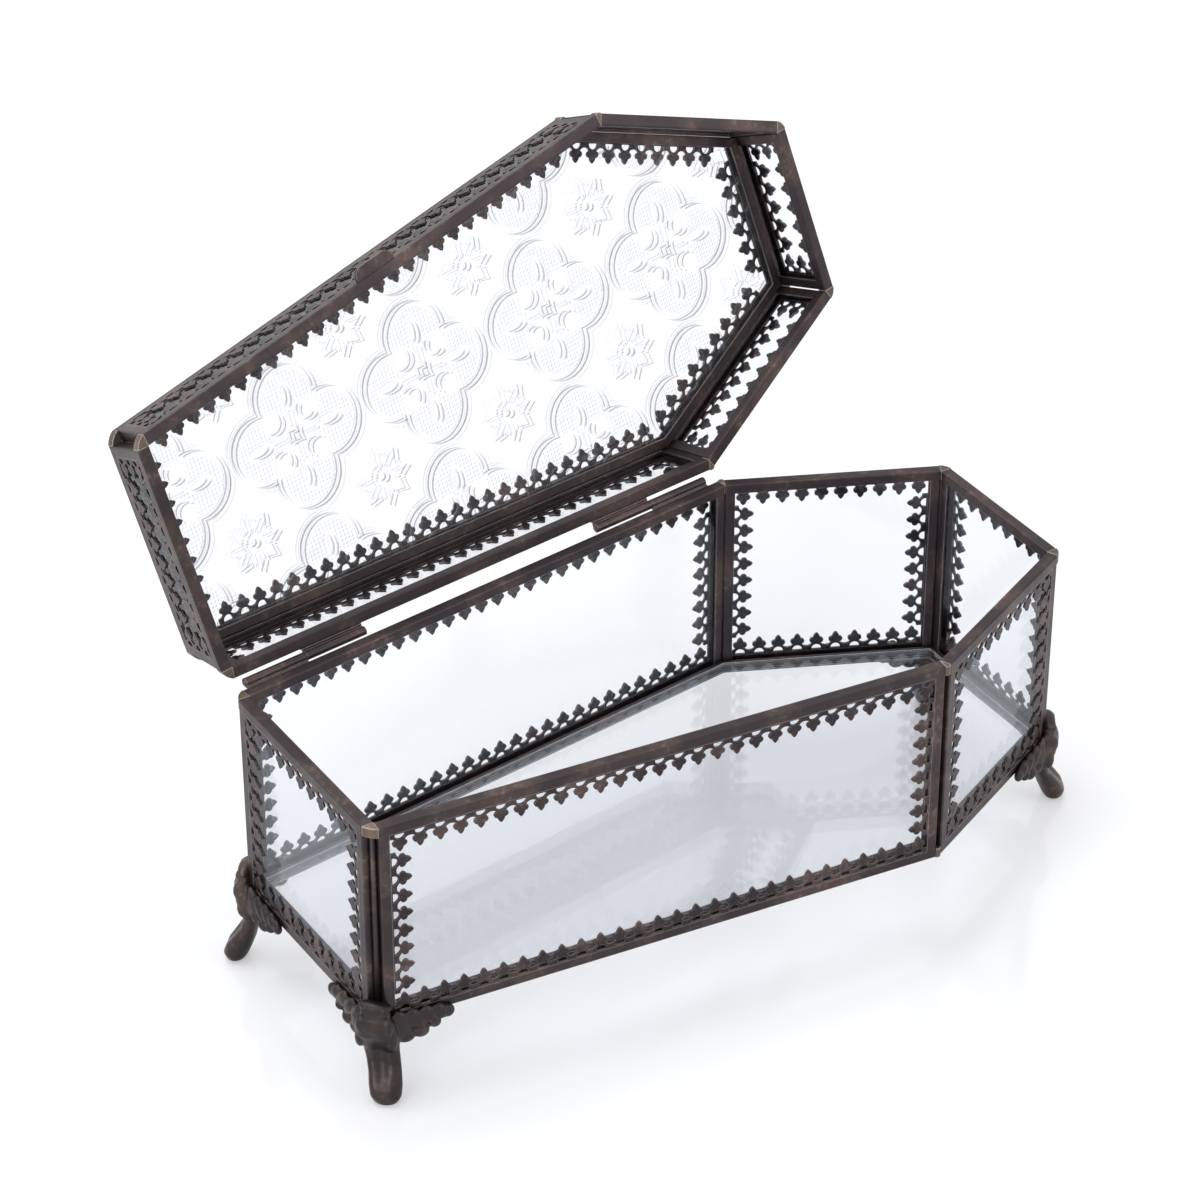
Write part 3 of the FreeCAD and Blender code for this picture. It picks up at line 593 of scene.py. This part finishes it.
@dataclass
class CastFoot:
    """Cast leg with a dished shank, a bulging knee and a lobed wing along each wall."""

    name: str
    plan: Plan
    index: int
    levels: tuple[Oval, ...] = (
        Oval(2.0, 1.2, 7.2, 5.0, 0.0, 0.0),
        Oval(0.2, 0.8, 8.0, 6.3, 0.2, 0.0),
        Oval(-2.6, 0.2, 7.9, 6.9, 0.8, 0.1),
        Oval(-5.6, -0.2, 6.8, 6.5, 1.3, 0.4),
        Oval(-9.0, 0.0, 5.6, 5.7, 1.6, 1.0),
        Oval(-12.5, 0.4, 6.6, 5.4, 1.8, 1.8),
        Oval(-16.0, 1.2, 9.0, 5.2, 1.6, 2.7),
        Oval(-19.3, 2.4, 11.2, 5.2, 1.0, 3.3),
        Oval(-22.2, 3.6, 11.9, 4.9, 0.3, 3.6),
        Oval(-24.0, 4.6, 11.2, 4.1, 0.0, 3.6),
        Oval(-24.8, 5.6, 10.2, 3.0, 0.0, 3.6),
    )
    knee: tuple[Lump, ...] = (
        Lump((4.6, 0.0, 1.4), (3.5, 6.2, 4.4)),
        Lump((4.2, 0.0, 5.4), (2.8, 4.8, 2.6)),
        Lump((4.2, 0.0, 7.8), (2.4, 5.4, 1.3)),
    )
    knee_side: tuple[Lump, ...] = (
        Lump((5.0, 3.2, 6.4), (1.9, 1.2, 2.2)),
        Lump((5.6, 4.4, 1.2), (2.0, 1.5, 3.4)),
        Lump((4.6, 5.0, -4.6), (1.9, 1.6, 3.6)),
    )
    webs: tuple[Lump, ...] = (
        Lump((3.6, 1.0, -2.0), (4.6, 2.0, 4.8), 0.35),
        Lump((8.0, 0.5, -1.4), (8.5, 0.9, 4.4), 0.12),
        Lump((15.0, 0.6, -0.3), (6.0, 0.9, 3.0), -0.05),
    )
    lobes: tuple[Lobe, ...] = (
        Lobe(5.0, 0.1, 5.1, 2.8),
        Lobe(9.4, 0.0, 4.5, 2.6),
        Lobe(13.7, 0.2, 4.0, 2.4),
        Lobe(17.4, 0.3, 3.3, 2.2),
    )
    lobe_lean: float = -0.55
    wing_tip: Lump = Lump((19.9, 1.1, -0.6), (2.0, 1.4, 2.2), 0.3)
    scallops: tuple[Triple, ...] = ((6.2, -5.3, 3.0), (11.0, -5.2, 2.6), (15.4, -3.4, 2.0))
    rest_out: float = 1.1
    sides: int = 32
    dish_share: float = 0.42
    grain: float = 0.36 * MM
    smoothing: int = 3

    def _leg(self, shape: bmesh.types.BMesh, place: Matrix) -> None:
        """Draws the leg out of a disc, level by level, with a dish down its front."""
        ring = bmesh.ops.create_circle(shape, cap_ends=True, segments=self.sides, radius=1.0)["verts"]
        face = ring[0].link_faces[0]
        for step, oval in enumerate(self.levels):
            if step:
                face = bmesh.ops.extrude_discrete_faces(shape, faces=[face])["faces"][0]
            for corner, vert in enumerate(face.verts):
                turn = 2.0 * math.pi * corner / self.sides
                middle = (oval.back + oval.front) / 2.0
                x = middle + (oval.front - oval.back) / 2.0 * math.cos(turn)
                y = oval.half_width * math.sin(turn)
                if math.cos(turn) > 0.0:
                    x -= oval.dish * math.exp(-((y / (self.dish_share * oval.half_width)) ** 2))
                vert.co = place @ (Vector((x, y + oval.swing, oval.level)) * MM)
        bmesh.ops.holes_fill(shape, edges=[edge for edge in shape.edges if edge.is_boundary])
        bmesh.ops.recalc_face_normals(shape, faces=shape.faces[:])

    @staticmethod
    def _lump(shape: bmesh.types.BMesh, place: Matrix, lump: Lump) -> None:
        """Adds a lump at a placement, leaning about the placement's Y."""
        scale = Matrix.Diagonal((*(radius * MM for radius in lump.radii), 1.0))
        turn = Matrix.Rotation(lump.lean, 4, "Y")
        matrix = place @ Matrix.Translation(Vector(lump.at) * MM) @ turn @ scale
        bmesh.ops.create_uvsphere(shape, u_segments=20, v_segments=12, radius=1.0, matrix=matrix)

    def _knee(self, shape: bmesh.types.BMesh, place: Matrix) -> None:
        """Adds the knee: a belly, a waist and a knob, and folds at both sides of them."""
        for lump in self.knee:
            self._lump(shape, place, lump)
        for side in (-1.0, 1.0):
            for lump in self.knee_side:
                out, aside, level = lump.at
                self._lump(shape, place, Lump((out, side * aside, level), lump.radii))

    def _lobes(self) -> Iterable[Lump]:
        """The leaning lobes of a wing, each with a ridge on it."""
        for lobe in self.lobes:
            yield Lump((lobe.along, self.rest_out, lobe.level), (lobe.wide, 1.5, lobe.tall), self.lobe_lean)
            ridge_at = (lobe.along + 0.3, self.rest_out + 0.8, lobe.level + 0.4)
            yield Lump(ridge_at, (lobe.wide * 0.28, 0.9, lobe.tall * 0.75), self.lobe_lean)

    def _scallops(self) -> Iterable[Lump]:
        """The scallops along a wing's lower edge, each with a boss on it."""
        for along, level, size in self.scallops:
            yield Lump((along, self.rest_out, level), (size, 1.6, size * 0.8))
            yield Lump((along, self.rest_out + 0.9, level + 0.3), (size * 0.45, 0.9, size * 0.4))

    def _wing(self, shape: bmesh.types.BMesh, place: Matrix) -> None:
        """Adds one wing: a thin web, leaning lobes on it and scallops along its lower edge."""
        for lump in (*self.webs, *self._lobes(), self.wing_tip, *self._scallops()):
            self._lump(shape, place, lump)

    def build(self, finish: bpy.types.Material) -> None:
        """Builds the foot and puts it in its solid's place."""
        before, after = self.index - 1, self.index
        corner = self.plan.corners()[self.index]
        first_out, second_out = self.plan.outward(before), self.plan.outward(after)
        diagonal = (first_out + second_out).normalized()
        place = axes(corner, diagonal, UP.cross(diagonal))
        shape = bmesh.new()
        self._leg(shape, place)
        self._knee(shape, place)
        for out, along in ((first_out, -self.plan.run(before)), (second_out, self.plan.run(after))):
            origin = corner + out * self.plan.came
            wall = Matrix((along, out, UP)).transposed().to_4x4()
            self._wing(shape, Matrix.Translation(origin) @ wall)
        skin = cast_as_one(self.name, shape, self.grain, self.smoothing)
        piece = finished(self.name, skin, finish, Body.BASE)
        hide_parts(self.name.replace("_cast", "_foot"))


@dataclass
class CornerSeams:
    """Solder run up each corner between the ends of two wall frames."""

    plan: Plan
    radius: float = 1.0 * MM
    outset: float = 1.3 * MM
    inset_z: float = 0.6 * MM
    sides: int = 16

    def build(self, finish: bpy.types.Material) -> None:
        """Builds the six seams as one piece on the base."""
        low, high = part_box("front_long_frame")
        tall = high[2] - low[2] - 2.0 * self.inset_z
        shape = bmesh.new()
        for index, corner in enumerate(self.plan.corners()):
            diagonal = (self.plan.outward(index - 1) + self.plan.outward(index)).normalized()
            middle = corner + diagonal * self.outset + UP * (tall / 2.0 + self.inset_z)
            bmesh.ops.create_cone(shape, cap_ends=True, segments=self.sides, radius1=self.radius,
                                  radius2=self.radius, depth=tall, matrix=Matrix.Translation(middle))
        mesh = bpy.data.meshes.new("corner_seams")
        shape.to_mesh(mesh)
        shape.free()
        finished("corner_seams", mesh, finish, Body.BASE)


def dress(nodes: Iterable[str], finish: bpy.types.Material) -> None:
    """Gives solids of the frame their finish by assigning to their material slots."""
    for name in nodes:
        piece = frame["nodes"][name]
        for slot in piece.material_slots:
            slot.material = finish


@dataclass
class Studio:
    """White sweep, soft lamps and the camera of the photograph."""

    azimuth: float = math.radians(-32.399)
    elevation: float = math.radians(33.963)
    distance: float = 1449.34 * MM
    target: Vector = field(default_factory=lambda: Vector((50.200, 83.532, 24.8)) * MM)
    focal_pixels: float = 4254.335
    frame_pixels: float = 1200.0
    sensor: float = 36.0
    sky_light: float = 0.6
    table_reach: float = 6.0
    table_glow: float = 0.34

    def camera(self) -> None:
        """Places the camera."""
        lens = bpy.data.cameras.new("camera")
        lens.sensor_width = self.sensor
        lens.lens = self.focal_pixels / self.frame_pixels * self.sensor
        lens.clip_end = 50.0
        stand = bpy.data.objects.new("camera", lens)
        level = math.cos(self.elevation)
        back = Vector((
            math.sin(self.azimuth) * level, -math.cos(self.azimuth) * level, math.sin(self.elevation)
        ))
        turn = back.to_track_quat("Z", "Y").to_matrix().to_4x4()
        stand.matrix_world = Matrix.Translation(self.target + back * self.distance) @ turn
        bpy.context.scene.collection.objects.link(stand)
        bpy.context.scene.camera = stand

    def lamp(self, name: str, at: Triple, width: float, power: float, tone: Colour) -> None:
        """Adds a square soft lamp that points at the middle of the box."""
        light = bpy.data.lights.new(name, "AREA")
        light.shape = "SQUARE"
        light.size = width
        light.energy = power
        light.color = tone
        stand = bpy.data.objects.new(name, light)
        turn = (Vector(at) - self.target).to_track_quat("Z", "Y").to_matrix().to_4x4()
        stand.matrix_world = Matrix.Translation(Vector(at)) @ turn
        bpy.context.scene.collection.objects.link(stand)

    def lamps(self) -> None:
        """Adds the overhead lamp and a fill at each side."""
        self.lamp("overhead", (-0.15, 0.55, 1.5), 1.3, 15.0, (1.0, 1.0, 1.0))
        self.lamp("left_fill", (-1.4, -0.5, 0.8), 0.9, 6.0, (0.97, 0.98, 1.0))
        self.lamp("right_fill", (1.2, -1.1, 0.9), 0.9, 5.0, (1.0, 0.99, 0.98))

    def world(self) -> None:
        """White surroundings for what is seen, and a soft grey level for light."""
        world = bpy.data.worlds.new("surroundings")
        world.use_nodes = True
        bpy.context.scene.world = world
        nodes, links = world.node_tree.nodes, world.node_tree.links
        nodes.clear()
        path = nodes.new("ShaderNodeLightPath")
        seen: Optional[bpy.types.NodeSocket] = None
        for kind in ("Is Camera Ray", "Is Glossy Ray", "Is Transmission Ray"):
            either = nodes.new("ShaderNodeMath")
            either.operation = "MAXIMUM"
            links.new(path.outputs[kind], either.inputs[0])
            if seen is not None:
                links.new(seen, either.inputs[1])
            seen = either.outputs[0]
        level = nodes.new("ShaderNodeMapRange")
        level.inputs["To Min"].default_value = self.sky_light
        level.inputs["To Max"].default_value = 1.0
        links.new(seen, level.inputs["Value"])
        sky = nodes.new("ShaderNodeBackground")
        sky.inputs["Color"].default_value = (1.0, 1.0, 1.0, 1.0)
        links.new(level.outputs[0], sky.inputs["Strength"])
        end = nodes.new("ShaderNodeOutputWorld")
        links.new(sky.outputs[0], end.inputs["Surface"])

    def floor(self) -> None:
        """Adds the white table that keeps soft shadows and a faint reflection."""
        recipe = Recipe("white_table")
        seen = recipe.node("ShaderNodeLightPath", output="Is Camera Ray")
        mottle = recipe.grain(0.4, detail=2.0)
        values = {
            "Base Color": recipe.blend(mottle, (0.855, 0.86, 0.89), (0.87, 0.875, 0.90)),
            "Roughness": 0.05 + mottle * 0.04,
            "Specular IOR Level": 0.7,
        }
        gloss = recipe.node("ShaderNodeBsdfPrincipled", None, values)
        glow = recipe.node("ShaderNodeEmission", None, {"Color": (1.0, 1.0, 1.0), "Strength": 1.0})
        surface = recipe.node("ShaderNodeMixShader", None, {0: seen * self.table_glow, 1: gloss, 2: glow})
        mesh = bpy.data.meshes.new("table")
        shape = bmesh.new()
        bmesh.ops.create_grid(shape, x_segments=1, y_segments=1, size=self.table_reach)
        shape.to_mesh(mesh)
        shape.free()
        table = bpy.data.objects.new("table", mesh)
        mesh.materials.append(recipe.close(surface))
        bpy.context.scene.collection.objects.link(table)

    def build(self) -> None:
        """Sets up the whole studio."""
        bpy.context.scene.view_settings.view_transform = "Standard"
        self.camera()
        self.lamps()
        self.world()
        self.floor()


@dataclass
class TrinketBox:
    """The box: which finish each solid has, and the new pieces on it."""

    open_angle: float = math.radians(109.5)
    pattern_turn: float = math.radians(2.4)
    figure_from_end: float = 0.1088
    figure_aside: float = -0.0076
    figure_level: float = 0.1195
    plan: Plan = field(default_factory=Plan)
    feet: tuple[tuple[str, int], ...] = (
        ("narrow_front_cast", 0), ("head_front_cast", 2), ("head_back_cast", 3), ("narrow_back_cast", 5),
    )

    def pressed_finish(self) -> bpy.types.Material:
        """Pressed glass whose pattern is laid out on the shut lid and opened with it."""
        hinge = frame["joints"][0]
        pivot = Vector(hinge["pos_m"])
        opened = Matrix.Rotation(self.open_angle, 3, -Vector(hinge["axis"]))
        tilted = opened @ Matrix.Rotation(self.pattern_turn, 3, "Z")
        low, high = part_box("floor_frame")
        middle = (low[1] + high[1]) / 2.0
        figure = Vector((low[0] + self.figure_from_end, middle + self.figure_aside, self.figure_level))
        return PressedGlass(
            "pressed_pane",
            across=tilted @ Vector((1.0, 0.0, 0.0)),
            upward=tilted @ Vector((0.0, 1.0, 0.0)),
            figure_at=pivot + opened @ (figure - pivot),
        ).make()

    def dress_glass(self) -> None:
        """Gives every pane its finish."""
        dress([name for name in frame["nodes"] if name.endswith("_glass")], Pane("clear_pane").make())
        dress(["floor_glass"], Pane("floor_pane", gloss=2.2).make())
        dress(["lid_top_glass"], self.pressed_finish())

    def dress_metal(self) -> None:
        """Gives frames, strips, hinges and solder their finishes, and adds the corner seams."""
        # Each patina paints its edges lighter: partly rubbed wear, partly a painted edge highlight.
        patina = Patina("frame_patina").make()
        lace = Patina("strip_patina", dark=(0.036, 0.029, 0.031), wear_and_highlight=0.6, edge=0.3 * MM,
                      pitting=0.16 * MM)
        solder = Patina("solder_patina", dark=(0.10, 0.082, 0.072), warm=(0.20, 0.145, 0.10), wear_and_highlight=0.9,
                        rubbed_and_highlight=(0.55, 0.48, 0.42), edge=0.6 * MM, roughness=0.45, pitting=0.30 * MM)
        floor = Patina("floor_patina", dark=(0.075, 0.070, 0.075), wear_and_highlight=1.0,
                       rubbed_and_highlight=(0.52, 0.52, 0.54), edge=0.6 * MM)
        dress([name for name in frame["nodes"] if not name.endswith("_glass")], patina)
        dress([name for name in frame["nodes"] if name.endswith("_lace")], lace.make())
        dress(["base_corner_solder", "lid_corner_solder"], solder.make())
        dress(["floor_frame"], floor.make())
        CornerSeams(self.plan).build(patina)

    def add_feet(self) -> None:
        """Puts the cast feet in their solids' places."""
        # The cast patina paints its edges a little lighter, as rubbed wear and a painted edge highlight.
        cast = Patina("cast_patina", dark=(0.040, 0.033, 0.033), warm=(0.085, 0.062, 0.052), wear_and_highlight=0.35,
                      edge=0.5 * MM, roughness=0.36, pitting=0.10 * MM).make()
        for name, index in self.feet:
            CastFoot(name, self.plan, index).build(cast)

    def build(self) -> None:
        """Dresses the box, one group after another."""
        self.dress_metal()
        self.dress_glass()
        self.add_feet()


def main() -> None:
    """Builds the studio and the box."""
    logging.basicConfig(level=logging.INFO, format="%(message)s")
    Studio().build()
    TrinketBox().build()


if __name__ == "__main__":
    main()
